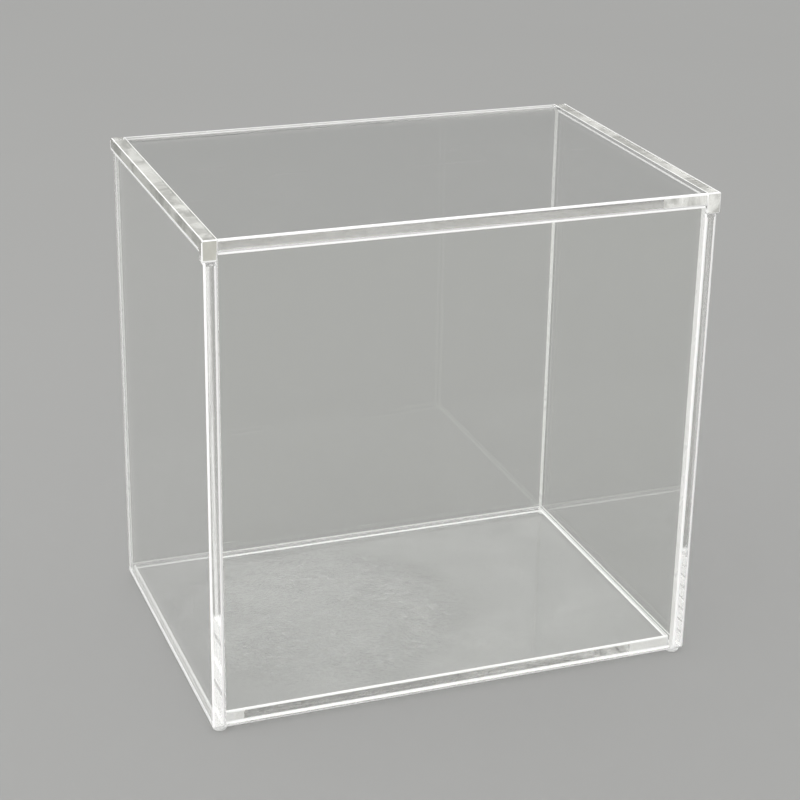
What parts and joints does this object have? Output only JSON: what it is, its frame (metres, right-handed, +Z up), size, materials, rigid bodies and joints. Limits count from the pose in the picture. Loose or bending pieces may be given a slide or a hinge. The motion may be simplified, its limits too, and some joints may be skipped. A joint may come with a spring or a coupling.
{
  "type": "acrylic display case",
  "caption": "Clear box of thick acrylic sheet on small bumper feet, with a lift-off lid whose side rails have front tabs that seat in notches in the side walls.",
  "frame": {"origin": "centre of the footprint, on the surface that the feet stand on", "axes": "+X along the width, to the right seen from the front; +Y from front to back; +Z up"},
  "size_m": [0.2016, 0.1416, 0.1972],
  "materials": {
    "clear_acrylic": "clear cast sheet with polished edges",
    "clear_rubber": "clear soft bumper"
  },
  "bodies": {
    "case": {"left_wall": "clear_acrylic", "right_wall": "clear_acrylic", "front_wall": "clear_acrylic", "back_wall": "clear_acrylic", "base_panel": "clear_acrylic", "foot_front_left": "clear_rubber", "foot_front_right": "clear_rubber", "foot_back_left": "clear_rubber", "foot_back_right": "clear_rubber"},
    "lid": {"lid_panel": "clear_acrylic", "lid_left_rail": "clear_acrylic", "lid_right_rail": "clear_acrylic"}
  },
  "joints": [
    {"name": "lid_lift", "type": "slide", "parent": "case", "child": "lid", "axis": [0, 0, 1], "range_m": [0, 0.2]}
  ]
}
